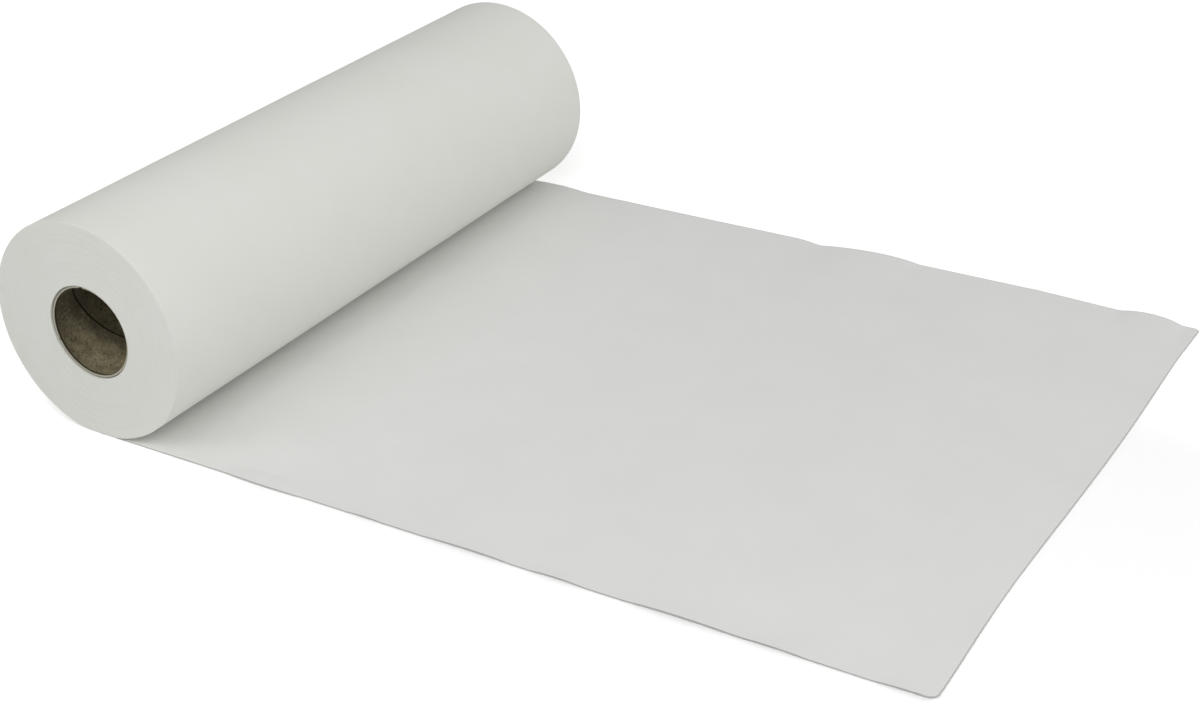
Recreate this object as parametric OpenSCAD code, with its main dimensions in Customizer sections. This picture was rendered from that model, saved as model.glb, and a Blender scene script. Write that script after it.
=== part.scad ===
// A roll of couch paper lying on its side, with the free end of the web drawn out flat on the floor.
// The roll's axis runs along Y and the free end points to +X. The origin is on the floor, under the
// middle of the roll, at the line where the web leaves it.

/* [Roll] */
// Width of the paper, which is also the length of the roll
paper_w = 400; // [250:1:600]
// Outer diameter of the wound paper
roll_d = 125; // [100:1:180]
// Thickness of the web, two plies together
web_t = 0.25; // [0.15:0.05:0.6]
// Depth by which the soft roll has settled into its flat spot
settle = 0.5; // [0.3:0.1:1.5]
// Size of the eased edge round each end of the wound paper
end_ease = 0.6; // [0.3:0.1:1.5]

/* [Turns on the ends] */
// Radial distance between the turns that stand out on an end
turn_pitch = 4; // [2.5:0.1:8]
// Width of the groove between two such turns
turn_groove_w = 0.7; // [0.3:0.1:1.2]
// Depth of that groove
turn_groove_depth = 0.3; // [0.1:0.1:1]
// Band left plain beside the core and beside the outside of the roll
turn_margin = 2.6; // [2:0.1:6]

/* [Cardboard core] */
// Inner diameter of the core
core_bore_d = 51; // [38:0.5:60]
// Wall of the core
core_wall = 1.5; // [1:0.1:3]
// Distance of each end of the core behind the end of the wound paper
core_inset = 0.4; // [0:0.1:3]
// Gap between the core and the first turn of paper
core_gap = 0.1; // [0.05:0.05:0.3]
// Size of the eased edge of the first turns, round the core
core_ease = 0.5; // [0.2:0.1:1.5]
// Shift of the core from the roll's middle, towards the free end
core_shift_x = 1.6; // [-3:0.1:3]
// Shift of the core from the roll's middle, upwards
core_shift_z = 0.5; // [-3:0.1:3]
// Length of core that the inner ply covers in one turn round it
seam_lead = 86; // [50:1:150]
// Width of the open seam of the inner ply
seam_w = 0.8; // [0.4:0.1:2]
// Depth of that seam, which is the inner ply's thickness
seam_depth = 0.35; // [0.1:0.05:0.8]
// Angle of the seam at the near end of the core, from +X upwards
seam_angle = 94; // [0:1:359]

/* [Free end] */
// Length of the free end from the roll's middle to its torn edge
free_l = 484; // [330:1:700]
// Sway of the torn edge to either side of a straight line
tear_sway = 1.2; // [0:0.1:3]
// Length of one sway along the torn edge
tear_wave = 340; // [200:5:600]
// Distance from the middle of the torn edge, towards its near end, at which a sway starts
tear_start = 40; // [-100:5:100]
// Rounding of the near corner
near_corner_r = 4; // [2:0.5:10]
// Distance by which the far corner is drawn in towards the middle
far_corner_in = 6; // [0:0.5:12]
// Length of the far edge over which it is drawn in
far_corner_run = 99; // [60:1:150]

/* [First buckle of the far edge] */
// Distance of the buckle's start before the torn edge
buckle_1_from_end = 241; // [200:1:260]
// Length of the buckle along the edge
buckle_1_l = 63; // [30:1:100]
// Height of the buckle
buckle_1_h = 2.4; // [0.5:0.1:5]
// Reach of the buckle into the sheet
buckle_1_reach = 62; // [30:1:90]
// Distance by which the crease at its start pulls the edge in
crease_in = 3; // [0:0.5:6]
// Length of edge that the crease draws in before the buckle
crease_run = 20; // [10:1:40]

/* [Second buckle of the far edge] */
// Distance of the buckle's start before the torn edge
buckle_2_from_end = 47; // [40:1:60]
// Length of the buckle along the edge
buckle_2_l = 37; // [20:1:38]
// Height of the buckle
buckle_2_h = 2.9; // [0.5:0.1:5]
// Reach of the buckle into the sheet
buckle_2_reach = 40; // [20:1:80]

/* [Lip of the near edge] */
// Distance of the lip's start before the torn edge
lip_from_end = 398; // [380:1:400]
// Length of the lip along the edge
lip_l = 52; // [20:1:100]
// Height of the lip
lip_h = 1.2; // [0.5:0.1:3]
// Width of the lip, from the edge into the sheet
lip_w = 14; // [8:1:30]
// Distance by which the edge stands out below the lip
lip_out = 3; // [0:0.5:5]

/* [Hidden] */
$fn = 96;
paper_colour = [0.86, 0.86, 0.83];
board_colour = [0.45, 0.39, 0.31];
// Overlap of a cutting shape past the surface that it cuts
past = 1;
roll_r = roll_d / 2;
roll_z = roll_r - settle;
core_bore_r = core_bore_d / 2;
core_r = core_bore_r + core_wall;
core_z = roll_z + core_shift_z;
paper_bore_r = core_r + core_gap;
core_l = paper_w - 2 * core_inset;
// Start of the sheet, behind the line where it leaves the roll, so that the two are one solid
sheet_start = -2;
// Segments of the seam in one turn round the core
seam_steps = 24;
seam_turns = core_l / seam_lead + 0.2;
// Spacing of the sheet's points along plain stretches, along its folds and near its corners
plain_step = 60;
fold_step = 6;
corner_step = 1.5;
// Length of sheet over which the torn edge's sway dies out
sway_run = 30;
// Power of a sine that gives a fold's profile, where less is a fuller fold
fold_fullness = 0.7;
// Two stations or rows of points nearer than this are one
station_grain = 0.5;

function sorted(v) =
    len(v) < 2 ? v
    : let (p = v[floor(len(v) / 2)])
      concat(sorted([for (a = v) if (a < p) a]), [p], sorted([for (a = v) if (a > p) a]));
function grained(v) = sorted([for (a = v) round(a / station_grain) * station_grain]);
// Falls from 1 at nothing to 0 at the reach, level at both ends
function fade(d, reach) = d < reach ? (1 + cos(180 * max(d, 0) / reach)) / 2 : 0;
// Rises from 0 at the start of a fold, over its crest, to 0 at its end
function fold(t) = t > 0 && t < 1 ? pow(sin(180 * t), fold_fullness) : 0;
// Crest a quarter of the way in from an edge, for a lip that turns down at the edge
function lip_rise(d) = d > 0 && d < lip_w ? sin(180 * sqrt(d / lip_w)) : 0;

buckle_1_x = free_l - buckle_1_from_end;
buckle_2_x = free_l - buckle_2_from_end;
lip_x = free_l - lip_from_end;

// Amount by which the far edge is drawn in at a station: by the first crease and towards the corner
function far_in(x) =
    crease_in * (x < buckle_1_x ? fade(buckle_1_x - x, crease_run) : fade(x - buckle_1_x, buckle_1_l))
    + far_corner_in * max(0, 1 - (free_l - x) / far_corner_run);
// Amount by which the near edge stands out at a station
function near_out(x) = lip_out * fold((x - lip_x) / lip_l);
// Height of the sheet's underside over the floor
function lift(x, near_d, far_d) =
    buckle_1_h * fold((x - buckle_1_x) / buckle_1_l) * fade(far_d, buckle_1_reach)
    + buckle_2_h * fold((x - buckle_2_x) / buckle_2_l) * fade(far_d, buckle_2_reach)
    + lip_h * fold((x - lip_x) / lip_l) * lip_rise(near_d);
// Shift of the torn edge at a row: its sway, less the rounding of the near corner
function tear(y, near_d) =
    tear_sway * sin(360 * (y + tear_start) / tear_wave)
    - (near_d < near_corner_r ? near_corner_r - sqrt(near_corner_r ^ 2 - (near_corner_r - near_d) ^ 2) : 0);

// Stations along the sheet and rows across it
stations = grained(concat(
    [for (x = [plain_step : plain_step : free_l - plain_step / 2]) x],
    [for (t = [0 : fold_step / buckle_1_l : 1.001]) buckle_1_x + t * buckle_1_l],
    [for (t = [0 : 0.25 : 1]) buckle_1_x - t * crease_run],
    [for (t = [0 : fold_step / buckle_2_l : 1.001]) buckle_2_x + t * buckle_2_l],
    [for (t = [0 : fold_step / lip_l : 1.001]) lip_x + t * lip_l],
    [sheet_start, free_l - far_corner_run, free_l - sway_run, free_l],
    [for (k = [1 : 4]) free_l - k * corner_step]
));
rows = grained(concat(
    [for (t = [0 : 0.2 : 1]) -paper_w / 2 + t * near_corner_r],
    [for (t = [0.25, 0.5, 0.75, 1]) -paper_w / 2 + t * lip_w],
    [for (t = [-0.35 : 0.1 : 0.25]) t * paper_w],
    [for (t = [0 : 0.2 : 1]) paper_w / 2 - t * max(buckle_1_reach, buckle_2_reach)]
));

// Point of the sheet at a station and a row, with its underside or its top at the given thickness
function sheet_point(x, y, thick) =
    let (near_d = y + paper_w / 2, far_d = paper_w / 2 - y)
    [
        x + tear(y, near_d) * fade(free_l - x, sway_run),
        y - far_in(x) * fade(far_d, buckle_1_reach) - near_out(x) * fade(near_d, lip_w),
        lift(x, near_d, far_d) + thick
    ];

// The web's free end: one thin sheet with its buckles, lip and torn edge
module free_sheet() {
    nx = len(stations);
    ny = len(rows);
    count = nx * ny;
    points = [for (thick = [web_t, 0]) for (x = stations) for (y = rows) sheet_point(x, y, thick)];
    cells = [for (i = [0 : nx - 2]) for (j = [0 : ny - 2]) i * ny + j];
    top = [for (c = cells) for (f = [[c, c + 1, c + ny + 1], [c, c + ny + 1, c + ny]]) f];
    under = [for (f = top) [for (k = [2, 1, 0]) f[k] + count]];
    edge_lines = concat(
        [for (i = [0 : nx - 2]) [i * ny, (i + 1) * ny]],
        [for (i = [0 : nx - 2]) [(i + 2) * ny - 1, (i + 1) * ny - 1]],
        [for (j = [0 : ny - 2]) [j + 1, j]],
        [for (j = [0 : ny - 2]) [count - ny + j, count - ny + j + 1]]
    );
    sides = [for (e = edge_lines) for (f = [[e[0], e[1], e[1] + count], [e[0], e[1] + count, e[0] + count]]) f];
    polyhedron(points = points, faces = concat(top, under, sides), convexity = 4);
}

// Turns what was drawn along Z to lie along the roll's axis, with the drawing's Y upwards
module along_roll(x, z) {
    translate([x, 0, z]) rotate([90, 0, 0]) children();
}

// Half of the wound paper, with eased ends, on one side of the upright plane through its middle
module half_roll(r, side) {
    half_w = paper_w / 2;
    rotate([0, 0, side * 90])
        rotate_extrude(angle = 180)
            polygon([
                [0, -half_w], [r - end_ease, -half_w], [r, end_ease - half_w],
                [r, half_w - end_ease], [r - end_ease, half_w], [0, half_w]
            ]);
}

// The hole through the wound paper, a little wider at its mouths
module paper_bore() {
    cylinder(r = paper_bore_r, h = paper_w + 2 * past, center = true);
    for (end = [0, 1])
        mirror([0, 0, end])
            translate([0, 0, paper_w / 2 - core_ease])
                cylinder(r1 = paper_bore_r, r2 = paper_bore_r + core_ease + past, h = core_ease + past);
}

// Half a turn of the groove between two turns, cut into the end of the roll that faces the drawing's +Z
module half_groove(r, side) {
    slope = turn_groove_w / 2 / turn_groove_depth;
    rotate([0, 0, side * 90])
        rotate_extrude(angle = 180)
            polygon([
                [r, paper_w / 2 - turn_groove_depth],
                [r + slope * (turn_groove_depth + past), paper_w / 2 + past],
                [r - slope * (turn_groove_depth + past), paper_w / 2 + past]
            ]);
}

// The groove winds outwards in half turns, each half a pitch wider than the last about a middle that
// lies half a pitch lower or higher, so that each starts where the last one ended
module turn_groove() {
    first_r = paper_bore_r + turn_margin;
    last_r = roll_r - turn_margin - norm([core_shift_x, core_shift_z]);
    halves = floor(2 * (last_r - first_r) / turn_pitch);
    for (k = [0 : halves - 1])
        translate([0, k % 2 == 0 ? 0 : -turn_pitch / 2, 0])
            half_groove(first_r + k * turn_pitch / 2, k % 2 == 0 ? 1 : -1);
}

// Wound paper and free end, one web and so one solid. The outermost turn comes up round the back and
// over the top half a web lower on the free end's side, and so meets the sheet that it lies on.
module wound_paper() {
    color(paper_colour) {
        difference() {
            union() {
                along_roll(0, roll_z) half_roll(roll_r, 1);
                along_roll(0, roll_z + web_t / 2) half_roll(roll_r - web_t / 2, -1);
            }
            translate([-roll_d, -paper_w, -roll_d])
                cube([2 * roll_d, 2 * paper_w, roll_d]);
            along_roll(core_shift_x, core_z) paper_bore();
            along_roll(core_shift_x, core_z) turn_groove();
            along_roll(core_shift_x, core_z) mirror([0, 0, 1]) turn_groove();
        }
        free_sheet();
    }
}

// Point of the seam's strip, at an angle round the core and a corner of its section
function seam_point(turn, radial, axial) =
    let (a = seam_angle + 360 * turn, r = core_bore_r + radial)
    [r * cos(a), axial + turn * seam_lead - core_l / 2, r * sin(a)];

// The open seam between two windings of the inner ply, a strip that winds along the bore
module seam() {
    steps = ceil(seam_turns * seam_steps);
    corners = [[-1, -1], [-1, 1], [1, 1], [1, -1]];
    points = [
        for (k = [-2 : steps]) for (c = corners)
        seam_point(k / seam_steps, c[0] * seam_depth, c[1] * seam_w / 2)
    ];
    rings = len(points) / 4;
    walls = [
        for (k = [0 : rings - 2]) for (s = [0 : 3])
        let (a = 4 * k + s, b = 4 * k + (s + 1) % 4)
        for (f = [[a, b, b + 4], [a, b + 4, a + 4]]) f
    ];
    last = len(points) - 4;
    ends = [[0, 3, 2], [0, 2, 1], [last, last + 1, last + 2], [last, last + 2, last + 3]];
    polyhedron(points = points, faces = concat(walls, ends), convexity = 8);
}

// Spiral-wound cardboard tube, a little shorter than the roll
module cardboard_core() {
    color(board_colour)
        translate([core_shift_x, 0, core_z])
            difference() {
                rotate([90, 0, 0]) cylinder(r = core_r, h = core_l, center = true);
                rotate([90, 0, 0]) cylinder(r = core_bore_r, h = core_l + 2 * past, center = true);
                seam();
            }
}

wound_paper();
cardboard_core();
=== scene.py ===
"""The looks of an exam table paper roll: a wound paper web on a cardboard core, with its free end drawn out.

Everything is in metres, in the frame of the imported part: the roll's axis runs along Y, the free end points
to +X, and the origin is on the floor under the middle of the roll.
"""
import logging
import math
from dataclasses import dataclass
from enum import Enum

import bmesh
import bpy
import numpy as np
from mathutils import Matrix, Vector, noise


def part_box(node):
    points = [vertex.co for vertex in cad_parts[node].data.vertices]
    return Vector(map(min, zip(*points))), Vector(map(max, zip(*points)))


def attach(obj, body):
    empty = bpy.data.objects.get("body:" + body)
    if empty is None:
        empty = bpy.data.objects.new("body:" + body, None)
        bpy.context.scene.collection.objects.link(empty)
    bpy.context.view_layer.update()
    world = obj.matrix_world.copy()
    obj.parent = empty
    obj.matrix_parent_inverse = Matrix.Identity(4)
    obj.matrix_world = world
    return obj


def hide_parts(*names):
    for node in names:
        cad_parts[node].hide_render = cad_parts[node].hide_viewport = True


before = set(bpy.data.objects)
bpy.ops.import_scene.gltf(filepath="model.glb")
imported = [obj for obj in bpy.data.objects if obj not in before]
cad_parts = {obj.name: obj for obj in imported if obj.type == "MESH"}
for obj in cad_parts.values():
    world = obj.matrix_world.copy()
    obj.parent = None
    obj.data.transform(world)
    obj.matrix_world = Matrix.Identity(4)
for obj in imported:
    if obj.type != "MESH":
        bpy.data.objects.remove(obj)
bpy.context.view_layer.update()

LOG = logging.getLogger("paper_roll")
MM = 0.001
HALF_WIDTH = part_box("wound_paper")[1].y
# Sockets of Blender's mix node when it mixes colours, which share their names with others
MIX_SHARE, MIX_UNDER, MIX_OVER, MIX_RESULT = 0, 6, 7, 2
SMOOTH_BELOW = math.radians(35)
MERGE_WITHIN = 0.002 * MM


class Side(Enum):
    """The two ends of the roll along Y."""

    NEAR = -1
    FAR = 1


def linear(hex_colour: str) -> tuple[float, float, float, float]:
    """Turns an sRGB hex colour to a linear one.

    Args:
        hex_colour: six hex digits, such as "d9dad5".

    Returns:
        Linear red, green and blue with an alpha of 1.
    """
    parts = [int(hex_colour[i : i + 2], 16) / 255 for i in (0, 2, 4)]
    low_end, slope, offset, power = 0.04045, 12.92, 0.055, 2.4
    turned = [c / slope if c <= low_end else ((c + offset) / (1 + offset)) ** power for c in parts]
    return (turned[0], turned[1], turned[2], 1.0)


def add_node(
    tree: bpy.types.NodeTree,
    kind: str,
    settings: dict[str | int, object] | None = None,
    links: dict[str | int, bpy.types.NodeSocket] | None = None,
) -> bpy.types.Node:
    """Adds a shader node with its settings and its incoming links.

    Args:
        tree: the node tree that takes the node.
        kind: the node's type, such as "ShaderNodeBump".
        settings: values for the node's own properties, or for its inputs by name or number.
        links: output sockets of other nodes, by the name or number of the input that each feeds.

    Returns:
        The new node.
    """
    made = tree.nodes.new(kind)
    for name, value in (settings or {}).items():
        if isinstance(name, str) and hasattr(made, name):
            setattr(made, name, value)
        else:
            made.inputs[name].default_value = value
    for name, socket in (links or {}).items():
        tree.links.new(socket, made.inputs[name])
    return made


def work_out(
    tree: bpy.types.NodeTree, operation: str, *terms: bpy.types.NodeSocket | float
) -> bpy.types.NodeSocket:
    """Adds a node that works out one sum.

    Args:
        tree: the node tree that takes the node.
        operation: Blender's name for the sum, such as "SUBTRACT".
        terms: the sum's terms in order, each a socket or a plain number.

    Returns:
        The socket with the result.
    """
    settings: dict[str | int, object] = {"operation": operation}
    links: dict[str | int, bpy.types.NodeSocket] = {}
    for number, term in enumerate(terms):
        if isinstance(term, bpy.types.NodeSocket):
            links[number] = term
        else:
            settings[number] = term
    return add_node(tree, "ShaderNodeMath", settings, links).outputs["Value"]


def spread(
    tree: bpy.types.NodeTree,
    value: bpy.types.NodeSocket,
    start: float,
    end: float,
    low: float = 0.0,
    high: float = 1.0,
) -> bpy.types.NodeSocket:
    """Adds a node that turns one stretch of values to another and holds it at both ends.

    Args:
        tree: the node tree that takes the node.
        value: the socket to read.
        start: the value that turns to the low result.
        end: the value that turns to the high result.
        low: the result at the start.
        high: the result at the end.

    Returns:
        The socket with the result.
    """
    bounds = {"From Min": start, "From Max": end, "To Min": low, "To Max": high}
    return add_node(tree, "ShaderNodeMapRange", bounds, {"Value": value}).outputs["Result"]


def add_noise(
    tree: bpy.types.NodeTree, place: bpy.types.NodeSocket, size_mm: float, detail: float, roughness: float
) -> bpy.types.NodeSocket:
    """Adds a noise of a real size.

    Args:
        tree: the node tree that takes the node.
        place: the socket with the places, in metres.
        size_mm: the size of the noise's main features, in millimetres.
        detail: how many finer layers lie on the first.
        roughness: how strong each finer layer is.

    Returns:
        The socket with the noise, whose middle is 0.5.
    """
    settings = {"Scale": 1 / (size_mm * MM), "Detail": detail, "Roughness": roughness}
    return add_node(tree, "ShaderNodeTexNoise", settings, {"Vector": place}).outputs["Fac"]


def add_ramp(
    tree: bpy.types.NodeTree, value: bpy.types.NodeSocket, stops: list[tuple[float, str]]
) -> bpy.types.NodeSocket:
    """Adds a colour ramp.

    Args:
        tree: the node tree that takes the node.
        value: the socket that runs along the ramp.
        stops: the ramp's two ends, each a place from 0 to 1 with its sRGB hex colour.

    Returns:
        The socket with the colour.
    """
    ramp = add_node(tree, "ShaderNodeValToRGB", {}, {"Fac": value})
    for element, (place, colour) in zip(ramp.color_ramp.elements, stops):
        element.position = place
        element.color = linear(colour)
    return ramp.outputs["Color"]


def seen_directly(tree: bpy.types.NodeTree) -> bpy.types.NodeSocket:
    """Returns a socket that is 1 for what the camera sees, itself or in a mirror, and 0 for other light."""
    paths = add_node(tree, "ShaderNodeLightPath")
    return work_out(tree, "MAXIMUM", paths.outputs["Is Camera Ray"], paths.outputs["Is Glossy Ray"])


def blank_material(name: str) -> bpy.types.Material:
    """Makes a node material with nothing in it."""
    material = bpy.data.materials.new(name)
    material.use_nodes = True
    material.node_tree.nodes.clear()
    return material


@dataclass(frozen=True)
class Tint:
    """A colour laid over a finish where some value runs from one bound to another."""

    value: bpy.types.NodeSocket
    none_at: float
    full_at: float
    share: float
    colour: str

    def lay_over(self, tree: bpy.types.NodeTree, under: bpy.types.NodeSocket) -> bpy.types.NodeSocket:
        """Mixes the tint over a colour and returns the socket with both."""
        shown = spread(tree, self.value, self.none_at, self.full_at, high=self.share)
        mixed = add_node(
            tree, "ShaderNodeMix",
            {"data_type": "RGBA", MIX_OVER: linear(self.colour)},
            {MIX_SHARE: shown, MIX_UNDER: under},
        )
        return mixed.outputs[MIX_RESULT]


class Lay(Enum):
    """How many layers of the web lie on each other where a finish is seen."""

    WOUND = "wound"
    SINGLE = "single"


@dataclass(frozen=True)
class CouchPaper:
    """Bleached tissue wadding, two plies rolled together on a paper machine: matte, soft and faintly cloudy.

    Light goes a little way in, so it has no highlight to speak of, and its fibres and the fine cross ridges
    of the creping blade break up what little sheen there is. Hundreds of turns on each other look a little
    yellower than one layer with a white floor behind it.
    """

    wound_light: str = "eeefe9"
    wound_cloud: str = "ecede6"
    single_light: str = "eeeeec"
    single_cloud: str = "ececea"
    roughness: float = 0.9
    ior: float = 1.47
    fibre_mm: float = 0.9
    crepe_mm: float = 1.8
    crepe_stretch: float = 0.15
    cloud_mm: float = 45.0
    relief_mm: float = 0.08
    # Painted shade: grey for a thin line along the single sheet's slit and torn edges, standing in for the
    # shadow under them
    edge_shade: str = "c2c2be"
    slit_shade_mm: float = 0.5
    torn_shade_share: float = 0.004

    def make(self, lay: Lay) -> bpy.types.Material:
        """Builds the material.

        Args:
            lay: whether the paper is wound on itself or lies in a single layer.

        Returns:
            The finished material.
        """
        material = blank_material(f"bleached_crepe_tissue_{lay.value}")
        tree = material.node_tree
        light = self.wound_light if lay is Lay.WOUND else self.single_light
        cloud = self.wound_cloud if lay is Lay.WOUND else self.single_cloud
        place = add_node(tree, "ShaderNodeTexCoord").outputs["Object"]
        # Formation: slow, faint clouds in the whiteness, as pulp settles unevenly on the wire
        clouds = add_noise(tree, place, self.cloud_mm, detail=5.0, roughness=0.6)
        coloured = add_ramp(tree, clouds, [(0.35, cloud), (0.65, light)])
        # Fibres: real ones are 0.02 mm across, drawn here about as fine as a pixel can show
        fibres = add_noise(tree, place, self.fibre_mm, detail=5.0, roughness=0.7)
        # Crepe: low ridges across the web, drawn coarser than the real 0.3 mm so that they show at all
        stretch = (1.0, self.crepe_stretch, 1.0)
        across = add_node(tree, "ShaderNodeMapping", {"Scale": stretch}, {"Vector": place})
        crepe = add_noise(tree, across.outputs["Vector"], self.crepe_mm, detail=3.0, roughness=0.55)
        bump = add_node(
            tree, "ShaderNodeBump",
            {"Strength": 0.4, "Distance": self.relief_mm * MM},
            {"Height": work_out(tree, "ADD", fibres, crepe)},
        )
        # The single sheet gets a painted line of shade along its slit and torn edges
        if lay is Lay.SINGLE:
            coloured = self.paint_edge_shade(tree, coloured)
        skin = add_node(
            tree, "ShaderNodeBsdfPrincipled",
            {
                "Roughness": self.roughness,
                "IOR": self.ior,
                "Specular IOR Level": 0.2,
                "Sheen Weight": 0.05,
                "Sheen Roughness": 0.6,
            },
            {"Base Color": coloured, "Normal": bump.outputs["Normal"]},
        )
        add_node(tree, "ShaderNodeOutputMaterial", {}, {"Surface": skin.outputs["BSDF"]})
        return material

    def paint_edge_shade(self, tree: bpy.types.NodeTree, paper: bpy.types.NodeSocket) -> bpy.types.NodeSocket:
        """Paints a grey line of shade along the sheet's slit and torn edges, in place of the thin shadow
        under them.

        The edges are found in the sheet's own UV map, where V runs across the web and U along it.

        Args:
            tree: the node tree of the single sheet's material.
            paper: the colour of the rest of the sheet.

        Returns:
            The socket with the colour and its edges.
        """
        lie = add_node(tree, "ShaderNodeUVMap")
        split = add_node(tree, "ShaderNodeSeparateXYZ", {}, {"Vector": lie.outputs["UV"]})
        off_middle = work_out(tree, "ABSOLUTE", work_out(tree, "SUBTRACT", split.outputs["Y"], 0.5))
        slit_share = self.slit_shade_mm * MM / (2 * HALF_WIDTH)
        edges = ((off_middle, 0.5, slit_share), (split.outputs["X"], 1.0, self.torn_shade_share))
        coloured = paper
        for value, end, width in edges:
            grey = Tint(value, end - width, end - width / 2, 1.0, self.edge_shade)
            coloured = grey.lay_over(tree, coloured)
        return coloured


@dataclass(frozen=True)
class CoreBoard:
    """Unbleached chipboard from waste paper, slit to strips, glued and wound on a spiral: dull, with flecks.

    Its faces are grey-brown with dark and pale flecks of old print and fibre. The sawn ends are torn, pale
    fibres, and the seam between two turns of the inner ply is dark with adhesive. Painted shade darkens the
    board beside the seam, towards the top of the bore, just inside each rim and along the rim's outer edge,
    and the board is darker near both ends.
    """

    light: str = "ada384"
    dark: str = "877d62"
    dark_fleck: str = "332b1f"
    pale_fleck: str = "a59d81"
    # Dark adhesive of the seam, also the painted shadow just inside each rim
    glue_and_shadow: str = "231d14"
    # Painted shade towards the top of the bore, beside the seam and at the rim's outer edge; also the darker
    # tone near each end
    shade_and_dark_tone: str = "3a3327"
    sawn: str = "c0bcab"
    roughness: float = 0.88
    ior: float = 1.5
    fleck_mm: float = 1.3
    grain_mm: float = 6.0
    relief_mm: float = 0.25
    # How ragged the painted shadow inside each rim is, and how far in it reaches
    rim_shadow_ragged_mm: float = 1.6
    rim_shadow_mm: float = 1.6
    blur_mm: float = 0.1
    saw_cut_mm: float = 0.3
    # Painted shadow: width of the dark line along the outer edge of the core's rim, in the gap to the paper
    gap_shadow_mm: float = 0.6
    # Painted shade beside the seam's groove: none beyond the first distance, full within the second
    seam_shade_mm: float = 11.0
    seam_shade_full_mm: float = 3.0
    # Painted shade: heights over the core's middle between which the board darkens towards the top of the
    # bore
    top_shade_from_mm: float = -22.0
    top_shade_to_mm: float = 6.0
    # Width of the darker band near each end of the core
    rim_darker_mm: float = 14.0
    seam_line_mm: float = 1.5
    dark_flecks: tuple[float, float] = (0.41, 0.35)
    pale_flecks: tuple[float, float] = (0.61, 0.69)

    def way_from_seam(
        self, tree: bpy.types.NodeTree, plan: "WebPlan", split: bpy.types.Node
    ) -> bpy.types.NodeSocket:
        """Works out the way along Y from the nearest turn of the core's seam.

        Args:
            tree: the node tree of the board's material.
            plan: the shared sizes, for the seam's lead and start.
            split: the node with the place from the core's middle, split to X, Y and Z.

        Returns:
            The socket with the way, in metres.
        """
        angle = work_out(tree, "ARCTAN2", split.outputs["Z"], split.outputs["X"])
        lead = plan.seam_lead
        unwound = work_out(tree, "MULTIPLY_ADD", angle, -lead / (2 * math.pi), split.outputs["Y"])
        shifted = work_out(tree, "SUBTRACT", unwound, plan.seam_at_top() - lead / 4)
        return work_out(tree, "PINGPONG", shifted, lead / 2)

    def tints(
        self,
        tree: bpy.types.NodeTree,
        plan: "WebPlan",
        centred: bpy.types.NodeSocket,
        flecks: bpy.types.NodeSocket,
    ) -> list[Tint]:
        """Lists what lies over the plain board, from the painted shade at the top of the bore up to the sawn
        ends and the painted shadow line along the rim's outer edge.

        Args:
            tree: the node tree of the board's material.
            plan: the shared sizes, for the core's ends and its seam.
            centred: the socket with the place from the core's middle.
            flecks: the socket with the flecks' noise.

        Returns:
            The tints, the lowest first.
        """
        split = add_node(tree, "ShaderNodeSeparateXYZ", {}, {"Vector": centred})
        along = work_out(tree, "ABSOLUTE", split.outputs["Y"])
        # Painted shadow just inside each rim, under the torn edge of the inner ply; its edge wanders with the
        # flecks' noise, whose middle is 0.5
        rim_shadow_place = work_out(tree, "MULTIPLY_ADD", flecks, self.rim_shadow_ragged_mm * MM, along)
        section = add_node(
            tree, "ShaderNodeCombineXYZ", {}, {"X": split.outputs["X"], "Y": split.outputs["Z"]}
        )
        radius = add_node(
            tree, "ShaderNodeVectorMath", {"operation": "LENGTH"}, {0: section.outputs["Vector"]}
        )
        from_seam = self.way_from_seam(tree, plan, split)
        rim, blur = plan.core_half_length, self.blur_mm * MM
        rim_shadow_start = rim - (self.rim_shadow_mm - self.rim_shadow_ragged_mm / 2) * MM
        sawn = rim - self.saw_cut_mm * MM
        line = self.seam_line_mm / 2 * MM
        gap_shadow_from = plan.core_radius - self.gap_shadow_mm * MM
        top_shade_none, top_shade_full = self.top_shade_from_mm * MM, self.top_shade_to_mm * MM
        seam_shade_none, seam_shade_full = self.seam_shade_mm * MM, self.seam_shade_full_mm * MM
        return [
            # Painted shade towards the top of the bore
            Tint(split.outputs["Z"], top_shade_none, top_shade_full, share=0.7, colour=self.shade_and_dark_tone),
            # Painted shade beside the seam's groove
            Tint(from_seam, seam_shade_none, seam_shade_full, share=0.4, colour=self.shade_and_dark_tone),
            # Darker near each end
            Tint(along, rim - self.rim_darker_mm * MM, rim, share=0.5, colour=self.shade_and_dark_tone),
            Tint(flecks, *self.dark_flecks, share=0.8, colour=self.dark_fleck),
            Tint(flecks, *self.pale_flecks, share=0.6, colour=self.pale_fleck),
            Tint(from_seam, line, line - 2 * blur, share=1.0, colour=self.glue_and_shadow),
            # Painted shadow under the torn edge of the inner ply, just inside each rim
            Tint(rim_shadow_place, rim_shadow_start - blur, rim_shadow_start + blur, share=0.8, colour=self.glue_and_shadow),
            Tint(along, sawn - blur, sawn, share=1.0, colour=self.sawn),
            # Painted shadow line along the rim's outer edge, in the gap to the paper
            Tint(radius.outputs["Value"], gap_shadow_from, gap_shadow_from + 2 * blur, share=0.7, colour=self.shade_and_dark_tone),
        ]

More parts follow.
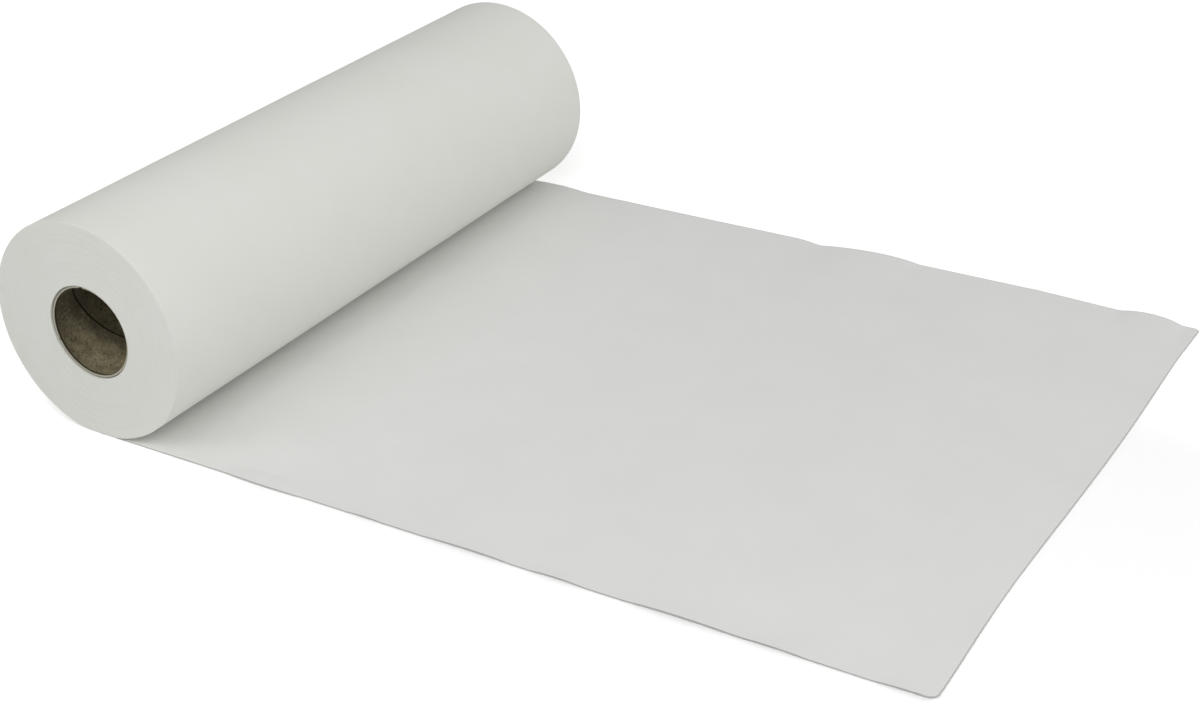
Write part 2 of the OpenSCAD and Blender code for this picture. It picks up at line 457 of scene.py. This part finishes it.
    def make(self, plan: "WebPlan") -> bpy.types.Material:
        """Builds the material.

        Args:
            plan: the shared sizes, for the core's middle, its ends and its plies.

        Returns:
            The finished material.
        """
        material = blank_material("spiral_wound_chipboard")
        tree = material.node_tree
        place = add_node(tree, "ShaderNodeTexCoord").outputs["Object"]
        to_middle = (-plan.core_x, 0.0, -plan.core_z)
        centred = add_node(tree, "ShaderNodeMapping", {"Location": to_middle}, {"Vector": place})
        grain_tone = add_noise(tree, place, self.grain_mm, detail=6.0, roughness=0.65)
        coloured = add_ramp(tree, grain_tone, [(0.38, self.dark), (0.62, self.light)])
        flecks = add_noise(tree, place, self.fleck_mm, detail=3.0, roughness=0.55)
        for tint in self.tints(tree, plan, centred.outputs["Vector"], flecks):
            coloured = tint.lay_over(tree, coloured)
        bump = add_node(
            tree, "ShaderNodeBump", {"Strength": 0.6, "Distance": self.relief_mm * MM}, {"Height": flecks}
        )
        skin = add_node(
            tree, "ShaderNodeBsdfPrincipled",
            {"Roughness": self.roughness, "IOR": self.ior, "Specular IOR Level": 0.3},
            {"Base Color": coloured, "Normal": bump.outputs["Normal"]},
        )
        add_node(tree, "ShaderNodeOutputMaterial", {}, {"Surface": skin.outputs["BSDF"]})
        return material


@dataclass(frozen=True)
class StudioFloor:
    """A sheet of white backdrop paper that lights the object from below and keeps its soft shadow.

    The camera sees it brighter than it lights the object, as white, with a little glow further back, where
    less of the light reaches.
    """

    colour: float = 0.87
    seen_colour: float = 1.26
    glow: float = 0.33
    bright_spot: tuple[float, float, float] = (0.45, -0.3, 0.0)
    glow_from: float = 0.36
    glow_to: float = 0.52

    def make(self) -> bpy.types.Material:
        """Builds the material."""
        material = blank_material("white_backdrop_paper")
        tree = material.node_tree
        seen = seen_directly(tree)
        tone = spread(tree, seen, 0.0, 1.0, low=self.colour, high=self.seen_colour)
        matte = add_node(tree, "ShaderNodeBsdfDiffuse", {}, {"Color": tone})
        place = add_node(tree, "ShaderNodeTexCoord").outputs["Object"]
        away = add_node(
            tree, "ShaderNodeVectorMath", {"operation": "DISTANCE", 1: self.bright_spot}, {0: place}
        )
        behind = spread(tree, away.outputs["Value"], self.glow_from, self.glow_to, high=self.glow)
        glow = add_node(
            tree, "ShaderNodeEmission",
            {"Color": (1.0, 1.0, 1.0, 1.0)},
            {"Strength": work_out(tree, "MULTIPLY", seen, behind)},
        )
        both = add_node(
            tree, "ShaderNodeAddShader", {}, {0: matte.outputs["BSDF"], 1: glow.outputs["Emission"]}
        )
        add_node(tree, "ShaderNodeOutputMaterial", {}, {"Surface": both.outputs["Shader"]})
        return material


def clear_selection() -> None:
    """Leaves object mode with nothing selected."""
    if bpy.context.object and bpy.context.object.mode != "OBJECT":
        bpy.ops.object.mode_set(mode="OBJECT")
    bpy.ops.object.select_all(action="DESELECT")


def make_active(piece: bpy.types.Object) -> None:
    """Selects one object alone and makes it the active one."""
    clear_selection()
    piece.select_set(True)
    bpy.context.view_layer.objects.active = piece


def read_points(piece: bpy.types.Object) -> np.ndarray:
    """Returns the places of a mesh's points, one row each."""
    places = np.empty(len(piece.data.vertices) * 3)
    piece.data.vertices.foreach_get("co", places)
    return places.reshape(-1, 3)


def write_points(piece: bpy.types.Object, places: np.ndarray) -> None:
    """Moves a mesh's points to new places, one row each."""
    piece.data.vertices.foreach_set("co", places.ravel())
    piece.data.update()


def draw_outline(name: str, points: list[tuple[float, float, float]]) -> bpy.types.Object:
    """Draws a closed outline by extruding one corner on and on, to be swept afterwards.

    Args:
        name: the new object's name.
        points: the outline's corners, in order.

    Returns:
        An object with only the outline in it, at the origin.
    """
    clear_selection()
    bpy.ops.mesh.primitive_plane_add(size=MM, location=points[0])
    piece = bpy.context.object
    piece.name = piece.data.name = name
    bpy.ops.object.mode_set(mode="EDIT")
    bpy.ops.mesh.merge(type="CENTER")
    for here, there in zip(points, points[1:]):
        step = Vector(there) - Vector(here)
        bpy.ops.mesh.extrude_region_move(TRANSFORM_OT_translate={"value": step})
    corners = bmesh.from_edit_mesh(piece.data).verts
    corners.ensure_lookup_table()
    bpy.ops.mesh.select_all(action="DESELECT")
    ends = sorted(corners, key=lambda c: len(c.link_edges))[:2]
    for end in ends:
        end.select = True
    bpy.ops.mesh.edge_face_add()
    bpy.ops.object.mode_set(mode="OBJECT")
    bpy.ops.object.transform_apply(location=True, rotation=True, scale=True)
    return piece


def merge_and_turn_out() -> None:
    """Merges doubled points of the mesh in edit mode and turns its faces outwards."""
    bpy.ops.mesh.select_all(action="SELECT")
    bpy.ops.mesh.remove_doubles(threshold=MERGE_WITHIN)
    bpy.ops.mesh.normals_make_consistent(inside=False)


def spin_outline(piece: bpy.types.Object, axis_height: float, steps: int) -> None:
    """Sweeps a drawn outline once round an axis along Y.

    Args:
        piece: the object that holds the outline, which becomes the swept skin.
        axis_height: height of the axis over the floor.
        steps: number of steps in the whole turn.
    """
    make_active(piece)
    bpy.ops.object.mode_set(mode="EDIT")
    bpy.ops.mesh.select_all(action="SELECT")
    bpy.ops.mesh.spin(steps=steps, angle=2 * math.pi, center=(0.0, 0.0, axis_height), axis=(0.0, 1.0, 0.0))
    merge_and_turn_out()
    bpy.ops.object.mode_set(mode="OBJECT")


def fade(distance: np.ndarray, reach: float) -> np.ndarray:
    """Falls from 1 at nothing to 0 at a reach, level at both ends."""
    near = np.clip(distance / reach, 0, 1)
    return (1 + np.cos(math.pi * near)) / 2


def fold(share: np.ndarray, fullness: float = 0.7) -> np.ndarray:
    """Height of a fold from 0 at its start, over its crest, to 0 at its end."""
    inside = np.clip(share, 0, 1)
    return np.sin(math.pi * inside) ** fullness * (share > 0) * (share < 1)


def grain(places: np.ndarray, size: float, seed: float) -> np.ndarray:
    """Smooth noise at given places.

    Args:
        places: points, one row each.
        size: distance over which the noise changes.
        seed: a shift that picks another stretch of the same noise.

    Returns:
        A value from about -1 to 1 for each point.
    """
    shift = Vector((seed, -seed, 0.37 * seed))
    return np.array([noise.noise(Vector(p) / size + shift) for p in places])


@dataclass(frozen=True)
class WebPlan:
    """Sizes that the wound paper, its free end and the core share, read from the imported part."""

    half_width: float
    roll_radius: float
    axis_height: float
    free_length: float
    core_x: float
    core_z: float
    core_radius: float
    core_half_length: float
    web: float = 0.25 * MM
    core_gap: float = 0.1 * MM
    tear_sway: float = 1.2 * MM
    bore_radius: float = 25.5 * MM
    ply: float = 0.6 * MM
    seam_lead: float = 86 * MM
    seam_degrees: float = 94.0
    core_set_back: float = 0.7 * MM

    def seam_at_top(self) -> float:
        """Place along Y where the core's seam crosses the top of the bore, near the roll's near end."""
        return -self.core_half_length + (90 - self.seam_degrees) / 360 * self.seam_lead

    @classmethod
    def from_frame(cls) -> "WebPlan":
        """Works the sizes out from the boxes of the two solids."""
        low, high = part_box("wound_paper")
        core_low, core_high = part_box("cardboard_core")
        radius = -low.x
        return cls(
            half_width=high.y,
            roll_radius=radius,
            axis_height=high.z - radius,
            free_length=high.x - cls.tear_sway,
            core_x=(core_low.x + core_high.x) / 2,
            core_z=(core_low.z + core_high.z) / 2,
            core_radius=(core_high.z - core_low.z) / 2,
            core_half_length=(core_high.y - core_low.y) / 2 - cls.core_set_back,
        )


@dataclass
class WoundTurns:
    """The wound part of the web: a soft, heavy cylinder of paper with its turns showing on both ends.

    The turns are a quarter of a millimetre thick, too fine to draw one by one, so the ends show a spiral of
    faint grooves with several turns between them, as they look from a step away.
    """

    plan: WebPlan
    steps: int = 288
    fullness: float = 0.5 * MM
    end_ease: float = 0.5 * MM
    ease_step_degrees: int = 18
    mouth_ease: float = 0.25 * MM
    face_tolerance: float = 0.01 * MM
    middle_margin: float = 0.1 * MM
    end_spacing: float = 0.45 * MM
    side_rows: int = 40
    turn_pitch: float = 4.0 * MM
    turn_margin: float = 2.6 * MM
    groove_width: float = 0.9 * MM
    groove_depth: float = 0.14 * MM
    band_depth: float = 0.1 * MM
    ring_depth: float = 0.03 * MM
    softness: float = 0.15 * MM
    softness_size: float = 55 * MM
    softness_seed: float = 3.1
    groove_fade: float = 2.0 * MM
    band_turns: float = 1.9
    ring_shuffle: float = 12.9898
    taper: float = 0.007

    def outline(self) -> list[tuple[float, float, float]]:
        """Lists the corners of the half section above the axis: both end faces, the side and the bore."""
        plan = self.plan
        full = plan.roll_radius + self.fullness
        bore = plan.core_radius + plan.core_gap
        count = round((full - self.end_ease - bore - self.mouth_ease) / self.end_spacing)
        face = np.linspace(bore + self.mouth_ease, full - self.end_ease, count)
        turn = np.radians(np.arange(self.ease_step_degrees, 90, self.ease_step_degrees))
        ease_r = full - self.end_ease * (1 - np.sin(turn))
        ease_y = plan.half_width - self.end_ease * (1 - np.cos(turn))
        half = [(bore, plan.half_width - self.mouth_ease)]
        half += [(r, plan.half_width) for r in face]
        half += list(zip(ease_r, ease_y))
        half.append((full, plan.half_width - self.end_ease))
        near = [(r, -y) for r, y in half]
        side = np.linspace(-plan.half_width + self.end_ease, plan.half_width - self.end_ease, self.side_rows)
        drawn = near + [(full, y) for y in side[1:-1]] + half[::-1]
        return [(0.0, y, plan.axis_height + r) for r, y in drawn]

    def relieve_ends(self, piece: bpy.types.Object) -> None:
        """Cuts the spiral of the turns into both end faces, and lets some turns stand proud of others."""
        plan = self.plan
        places = read_points(piece)
        across, up = places[:, 0], places[:, 2] - plan.axis_height
        radius = np.hypot(across, up)
        angle = np.arctan2(up, across) / (2 * math.pi)
        inner = plan.core_radius + plan.core_gap + self.turn_margin
        outer = plan.roll_radius - self.turn_margin
        ring = np.round((radius - inner) / self.end_spacing)
        fine = (0.5 + 0.5 * np.sin(ring * self.ring_shuffle)) * self.ring_depth
        for side in Side:
            on_face = side.value * places[:, 1] > plan.half_width - self.face_tolerance
            wound = (radius - inner) / self.turn_pitch + side.value * angle
            share = wound - np.floor(wound)
            from_groove = np.minimum(share, 1 - share) * self.turn_pitch
            groove = np.clip(1 - from_groove / (self.groove_width / 2), 0, 1) * self.groove_depth
            inside = np.clip((radius - inner) / self.groove_fade, 0, 1)
            inside *= np.clip((outer - radius) / self.groove_fade, 0, 1)
            band = (0.5 + 0.5 * np.sin(wound * self.band_turns + side.value)) * self.band_depth
            places[:, 1] -= side.value * on_face * inside * (groove + band + fine)
        write_points(piece, places)

    def settle_on_floor(self, piece: bpy.types.Object) -> None:
        """Moves the core's seat off the middle, softens the side, and presses the flat on which it rests.

        The half of the roll on the sheet's side is wound one layer smaller, and rests on the sheet. The web
        is wound a little looser at the near end, so the roll is a touch fuller there than at the far end.
        """
        plan = self.plan
        places = read_points(piece)
        across, up = places[:, 0].copy(), places[:, 2] - plan.axis_height
        radius = np.hypot(across, up)
        full, bore = plan.roll_radius + self.fullness, plan.core_radius + plan.core_gap
        towards_core = np.clip((full - radius) / (full - bore), 0, 1)
        sheet_side = across > self.middle_margin
        swell = self.softness * grain(places, self.softness_size, self.softness_seed)
        swell -= sheet_side * plan.web / 2
        swell *= 1 - towards_core
        places[:, 0] += plan.core_x * towards_core + across / radius * swell
        lift = (1 - towards_core) * sheet_side * plan.web / 2
        places[:, 2] += (plan.core_z - plan.axis_height) * towards_core + up / radius * swell + lift
        taper = -self.taper * places[:, 1] / plan.half_width * (1 - towards_core)
        places[:, 0] *= 1 + taper
        places[:, 2] *= 1 + taper
        places[:, 2] = np.maximum(places[:, 2], sheet_side * plan.web)
        write_points(piece, places)

    def build(self, finish: bpy.types.Material) -> bpy.types.Object:
        """Makes the wound turns.

        Args:
            finish: the paper's material.

        Returns:
            The finished piece.
        """
        piece = draw_outline("wound_turns", self.outline())
        spin_outline(piece, self.plan.axis_height, self.steps)
        self.relieve_ends(piece)
        self.settle_on_floor(piece)
        make_active(piece)
        bpy.ops.object.shade_smooth_by_angle(angle=SMOOTH_BELOW)
        piece.data.materials.append(finish)
        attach(piece, "root")
        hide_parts("wound_paper")
        return piece


@dataclass(frozen=True)
class Cockle:
    """A low fold at one edge of the sheet, where it has a little too much length to lie flat."""

    before_end: float
    length: float
    height: float
    reach: float
    fullness: float = 0.7


@dataclass
class FreeSheet:
    """The free end of the web: a thin sheet on the floor with its cockles, lip and torn edge."""

    plan: WebPlan
    columns: int = 150
    rows: int = 240
    root: float = -2 * MM
    end_crowding: float = 1.25
    crease_in: float = 3 * MM
    crease_run: float = 20 * MM
    far_corner_in: float = 6 * MM
    far_corner_run: float = 99 * MM
    near_corner_radius: float = 4 * MM
    far_corner_radius: float = 2.5 * MM
    near_corner_out: float = 1.7 * MM
    near_corner_reach: float = 110 * MM
    far_corner_out: float = 1.4 * MM
    far_corner_reach: float = 60 * MM
    tear_wave: float = 340 * MM
    tear_start: float = 40 * MM
    sway_run: float = 30 * MM
    nib: float = 0.2 * MM
    nib_run: float = 1.5 * MM
    nib_zigzag: float = 0.7
    nib_zigzag_back: float = 0.6
    nib_random: float = 0.6
    lip_before_end: float = 398 * MM
    lip_length: float = 52 * MM
    lip_height: float = 1.9 * MM
    lip_width: float = 11 * MM
    lip_out: float = 0.9 * MM
    edge_lift: float = 0.4 * MM
    edge_lift_reach: float = 9 * MM
    edge_lift_size: float = 35 * MM
    edge_lift_seed: float = 1.3
    edge_lift_least: float = 0.15
    edge_lift_mean: float = 0.7
    wave_height: float = 0.25 * MM
    wave_size: float = 90 * MM
    wave_seed: float = 7.7
    wave_mean: float = 0.1
    flat_to: float = 14 * MM
    loose_run: float = 30 * MM
    under_roll_lift: float = 0.02 * MM
    nib_shuffle: tuple[float, float] = (78.233, 43758.5453)
    far_cockles: tuple[Cockle, ...] = (
        Cockle(before_end=241 * MM, length=63 * MM, height=2.4 * MM, reach=62 * MM),
        Cockle(before_end=47 * MM, length=38 * MM, height=2.7 * MM, reach=40 * MM),
        Cockle(before_end=470 * MM, length=50 * MM, height=1.4 * MM, reach=16 * MM),
    )
    near_cockles: tuple[Cockle, ...] = (
        Cockle(before_end=318 * MM, length=22 * MM, height=0.6 * MM, reach=9 * MM),
        Cockle(before_end=270 * MM, length=52 * MM, height=1.0 * MM, reach=14 * MM),
        Cockle(before_end=207 * MM, length=28 * MM, height=0.8 * MM, reach=10 * MM),
        Cockle(before_end=153 * MM, length=60 * MM, height=1.1 * MM, reach=14 * MM),
        Cockle(before_end=97 * MM, length=36 * MM, height=0.8 * MM, reach=12 * MM),
        Cockle(before_end=28 * MM, length=44 * MM, height=0.8 * MM, reach=14 * MM),
    )

    def far_in(self, x: np.ndarray) -> np.ndarray:
        """Amount by which the far edge is drawn in, by the first crease and towards the corner."""
        first = self.far_cockles[0]
        start = self.plan.free_length - first.before_end
        crease = self.crease_in * np.where(
            x < start, fade(start - x, self.crease_run), fade(x - start, first.length)
        )
        corner = self.far_corner_in * np.clip(1 - (self.plan.free_length - x) / self.far_corner_run, 0, 1)
        return crease + corner

    def tear(self, y: np.ndarray, near: np.ndarray, far: np.ndarray) -> np.ndarray:
        """Shift of the torn edge: its sway and its two corners, less their rounding."""
        sway = self.plan.tear_sway * np.sin(2 * math.pi * (y + self.tear_start) / self.tear_wave)
        sway += self.near_corner_out * fade(near, self.near_corner_reach)
        sway += self.far_corner_out * fade(far, self.far_corner_reach)
        for radius, edge in ((self.near_corner_radius, near), (self.far_corner_radius, far)):
            inside = np.clip(radius - edge, 0, radius)
            sway -= radius - np.sqrt(radius**2 - inside**2)
        return sway

    def nibs(self, x: np.ndarray, y: np.ndarray) -> np.ndarray:
        """Shift of the last points, where each bridge of the perforation tore a little beyond its cuts."""
        row = np.round((y / self.plan.half_width + 1) / 2 * self.rows)
        turn, spread_out = self.nib_shuffle
        random = np.modf(np.sin(row * turn) * spread_out)[0]
        zigzag = np.where(row % 2 == 0, 1.0, -self.nib_zigzag_back)
        torn = self.nib_zigzag * zigzag + self.nib_random * random
        return self.nib * torn * fade(self.plan.free_length - x, self.nib_run)

    def cockles(self, x: np.ndarray, distance: np.ndarray, folds: tuple[Cockle, ...]) -> np.ndarray:
        """Height of the folds along one edge, at a distance from that edge."""
        height = np.zeros_like(x)
        for one in folds:
            along = (x - self.plan.free_length + one.before_end) / one.length
            height += one.height * fold(along, one.fullness) * fade(distance, one.reach)
        return height

    def lay(self, piece: bpy.types.Object) -> None:
        """Moves the points of a plain grid to where the sheet lies."""
        plan = self.plan
        grid = read_points(piece)
        along, side = grid[:, 0] + 0.5, 2 * grid[:, 1]
        x = plan.free_length - (plan.free_length - self.root) * (1 - along) ** self.end_crowding
        y = side * plan.half_width
        near, far = y + plan.half_width, plan.half_width - y
        to_end = plan.free_length - x
        places = np.stack([x, y, np.zeros_like(x)], axis=1)
        lip = fold((x - plan.free_length + self.lip_before_end) / self.lip_length)
        rise = np.sin(math.pi * np.sqrt(np.clip(near / self.lip_width, 0, 1)))
        height = self.lip_height * lip * rise
        height += self.cockles(x, far, self.far_cockles) + self.cockles(x, near, self.near_cockles)
        clear_of_roll = np.clip((x - self.flat_to) / self.loose_run, 0, 1)
        waves = np.clip(grain(places, self.wave_size, self.wave_seed) + self.wave_mean, 0, 1)
        uneven = grain(places, self.edge_lift_size, self.edge_lift_seed) + self.edge_lift_mean
        loose = self.edge_lift * np.clip(uneven, self.edge_lift_least, 1)
        loose *= fade(np.minimum(near, to_end), self.edge_lift_reach)
        places[:, 0] += self.tear(y, near, far) * fade(to_end, self.sway_run) + self.nibs(x, y)
        places[:, 1] -= self.far_in(x) * fade(far, self.far_cockles[0].reach)
        places[:, 1] -= self.lip_out * lip * fade(near, self.lip_width)
        places[:, 2] = height + (self.wave_height * waves + loose) * clear_of_roll + plan.web
        places[:, 2] += self.under_roll_lift * (x < 0)
        write_points(piece, places)

    def build(self, finish: bpy.types.Material) -> bpy.types.Object:
        """Makes the free sheet.

        Args:
            finish: the paper's material.

        Returns:
            The finished piece.
        """
        clear_selection()
        bpy.ops.mesh.primitive_grid_add(x_subdivisions=self.columns, y_subdivisions=self.rows, size=1.0)
        piece = bpy.context.object
        piece.name = piece.data.name = "free_sheet"
        self.lay(piece)
        thicken = piece.modifiers.new("web_thickness", "SOLIDIFY")
        thicken.thickness = self.plan.web
        thicken.offset = -1.0
        make_active(piece)
        bpy.ops.object.modifier_apply(modifier=thicken.name)
        bpy.ops.object.shade_smooth_by_angle(angle=SMOOTH_BELOW)
        piece.data.materials.append(finish)
        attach(piece, "root")
        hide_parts("wound_paper")
        return piece


@dataclass
class CoreTube:
    """The spiral-wound core: outer plies as one tube, and the inner ply wound inside with its open seam."""

    plan: WebPlan
    seam_width: float = 1.3 * MM
    turn_steps: int = 120
    tube_ease: float = 0.2 * MM
    ply_ease: float = 0.1 * MM
    ply_overlap: float = 0.01 * MM
    ply_rows: int = 30
    rim_rows: float = 3 * MM
    burr: float = 0.12 * MM
    burr_size: float = 1.2 * MM
    burr_seed: float = 5.3
    burr_reach: float = 0.25 * MM
    nick_degrees: float = 204.0
    nick_spread: float = 4.0
    nick_depth: float = 1.6 * MM

    def outer_plies(self) -> bpy.types.Object:
        """Spins the outer plies as one tube with slightly broken edges."""
        plan = self.plan
        inner, outer = plan.bore_radius + plan.ply, plan.core_radius
        half, ease = plan.core_half_length, self.tube_ease
        mouth = [
            (inner, half - self.rim_rows),
            (inner, half - ease / 2),
            (inner + ease / 2, half),
            ((inner + outer) / 2, half),
            (outer - ease, half),
            (outer, half - ease),
            (outer, half - self.rim_rows),
        ]
        drawn = mouth + [(r, -y) for r, y in mouth[::-1]]
        piece = draw_outline("core_tube", [(0.0, y, r) for r, y in drawn])
        spin_outline(piece, 0.0, 2 * self.turn_steps)
        return piece

    def inner_ply(self) -> bpy.types.Object:
        """Winds the inner ply on its spiral past both ends, and saws it off flush with the tube."""
        plan = self.plan
        half, lead, at_top = plan.core_half_length, plan.seam_lead, plan.seam_at_top()
        start = at_top + math.ceil((half - at_top) / lead) * lead
        turns = math.ceil((start + lead + half) / lead)
        low, high = start + self.seam_width / 2, start + lead - self.seam_width / 2
        inner, ease = plan.bore_radius, self.ply_ease
        outer = inner + plan.ply + self.ply_overlap
        rows = [(inner, y) for y in np.linspace(low + ease, high - ease, self.ply_rows)]
        drawn = [(outer, low), (inner + ease, low), *rows, (inner + ease, high), (outer, high)]
        piece = draw_outline("inner_ply", [(0.0, y, r) for r, y in drawn])
        winder = piece.modifiers.new("winding", "SCREW")
        winder.axis = "Y"
        winder.angle = 2 * math.pi
        winder.screw_offset = -lead
        winder.iterations = turns
        winder.steps = winder.render_steps = self.turn_steps
        make_active(piece)
        bpy.ops.object.modifier_apply(modifier=winder.name)
        bpy.ops.object.mode_set(mode="EDIT")
        for side in Side:
            bpy.ops.mesh.select_all(action="SELECT")
            bpy.ops.mesh.bisect(
                plane_co=(0.0, side.value * half, 0.0),
                plane_no=(0.0, side.value, 0.0),
                use_fill=True,
                clear_outer=True,
            )
        merge_and_turn_out()
        bpy.ops.object.mode_set(mode="OBJECT")
        return piece

    def roughen_rims(self, piece: bpy.types.Object) -> None:
        """Raises a burr of torn fibre along both rims and tears a nick into the near one."""
        plan = self.plan
        places = read_points(piece)
        at_rim = np.abs(places[:, 1]) > plan.core_half_length - self.burr_reach
        side = np.sign(places[:, 1])
        rough = grain(places, self.burr_size, self.burr_seed) * self.burr
        radius = np.hypot(places[:, 0], places[:, 2])
        inner = np.clip((plan.bore_radius + plan.ply - radius) / plan.ply, 0, 1)
        places[:, 1] -= at_rim * side * (self.burr + rough)
        angle = np.degrees(np.arctan2(places[:, 2], places[:, 0])) % 360
        nick = np.clip(1 - np.abs(angle - self.nick_degrees) / self.nick_spread, 0, 1) * self.nick_depth
        places[:, 1] += at_rim * (side < 0) * inner * nick
        write_points(piece, places)

    def build(self, finish: bpy.types.Material) -> bpy.types.Object:
        """Makes the core.

        Args:
            finish: the board's material.

        Returns:
            The finished piece.
        """
        piece = self.outer_plies()
        lining = self.inner_ply()
        make_active(piece)
        lining.select_set(True)
        bpy.ops.object.join()
        self.roughen_rims(piece)
        places = read_points(piece)
        places[:, 0] += self.plan.core_x
        places[:, 2] += self.plan.core_z
        write_points(piece, places)
        make_active(piece)
        bpy.ops.object.shade_smooth_by_angle(angle=SMOOTH_BELOW)
        piece.data.materials.append(finish)
        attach(piece, "root")
        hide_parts("cardboard_core")
        return piece


@dataclass(frozen=True)
class Softbox:
    """A square studio light that looks at one point."""

    name: str
    place: tuple[float, float, float]
    aim: tuple[float, float, float]
    side: float
    power: float

    def hang(self) -> None:
        """Puts the light in the scene."""
        data = bpy.data.lights.new(self.name, "AREA")
        data.shape = "SQUARE"
        data.size = self.side
        data.energy = self.power
        lamp = bpy.data.objects.new(self.name, data)
        lamp.location = self.place
        towards = Vector(self.aim) - Vector(self.place)
        lamp.rotation_euler = towards.to_track_quat("-Z", "Y").to_euler()
        bpy.context.scene.collection.objects.link(lamp)


@dataclass(frozen=True)
class Studio:
    """The pale floor, the soft lights and the camera at the photograph's angle."""

    camera_place: tuple[float, float, float] = (0.7398, -0.8763, 0.5549)
    camera_aim: tuple[float, float, float] = (0.1905, 0.0083, 0.0)
    camera_roll_degrees: float = 1.85
    focal_length: float = 61.31
    sensor_width: float = 36.0
    clip_start: float = 0.05
    sky: float = 0.4
    softboxes: tuple[Softbox, ...] = (
        Softbox("left_front", (-0.8, -1.5, 1.5), (0.1, -0.1, 0.0), side=1.0, power=4.5),
        Softbox("over_front", (0.1, -0.8, 1.8), (0.2, -0.1, 0.0), side=1.2, power=5.2),
        Softbox("right_corner", (0.6, -0.9, 0.9), (0.45, -0.2, 0.0), side=0.8, power=4.1),
        Softbox("right_back", (1.5, 1.2, 1.0), (0.1, 0.0, 0.0), side=1.0, power=10.4),
    )
    floor_size: float = 12.0
    floor_drop: float = 0.1 * MM

    def aim_camera(self) -> None:
        """Makes the scene's camera."""
        data = bpy.data.cameras.new("photo_camera")
        data.lens = self.focal_length
        data.sensor_width = self.sensor_width
        data.clip_start = self.clip_start
        camera = bpy.data.objects.new("photo_camera", data)
        towards = Vector(self.camera_aim) - Vector(self.camera_place)
        level = towards.to_track_quat("-Z", "Y").to_matrix().to_4x4()
        roll = Matrix.Rotation(math.radians(-self.camera_roll_degrees), 4, "Z")
        camera.matrix_world = Matrix.Translation(self.camera_place) @ level @ roll
        bpy.context.scene.collection.objects.link(camera)
        bpy.context.scene.camera = camera

    def light(self) -> None:
        """Hangs the softboxes and sets an even white surround."""
        for softbox in self.softboxes:
            softbox.hang()
        world = bpy.data.worlds.new("white_studio")
        world.use_nodes = True
        tree = world.node_tree
        tree.nodes.clear()
        strength = spread(tree, seen_directly(tree), 0.0, 1.0, low=self.sky, high=1.0)
        surround = add_node(tree, "ShaderNodeBackground", {}, {"Strength": strength})
        add_node(tree, "ShaderNodeOutputWorld", {}, {"Surface": surround.outputs["Background"]})
        bpy.context.scene.world = world

    def floor(self) -> None:
        """Lays the floor, a sheet just below what the object rests on."""
        clear_selection()
        bpy.ops.mesh.primitive_plane_add(size=self.floor_size, location=(0.0, 0.0, -self.floor_drop))
        floor = bpy.context.object
        floor.name = floor.data.name = "studio_floor"
        floor.data.materials.append(StudioFloor().make())


def main() -> None:
    """Builds the roll's pieces in order, then the studio, and logs each piece's face count."""
    logging.basicConfig(level=logging.INFO, format="%(name)s: %(message)s")
    bpy.context.scene.view_settings.view_transform = "Standard"
    plan = WebPlan.from_frame()
    studio = Studio()
    studio.aim_camera()
    pieces = [
        WoundTurns(plan).build(CouchPaper().make(Lay.WOUND)),
        FreeSheet(plan).build(CouchPaper().make(Lay.SINGLE)),
        CoreTube(plan).build(CoreBoard().make(plan)),
    ]
    for piece in pieces:
        LOG.info("%s: %d faces", piece.name, len(piece.data.polygons))
    studio.light()
    studio.floor()


if __name__ == "__main__":
    main()
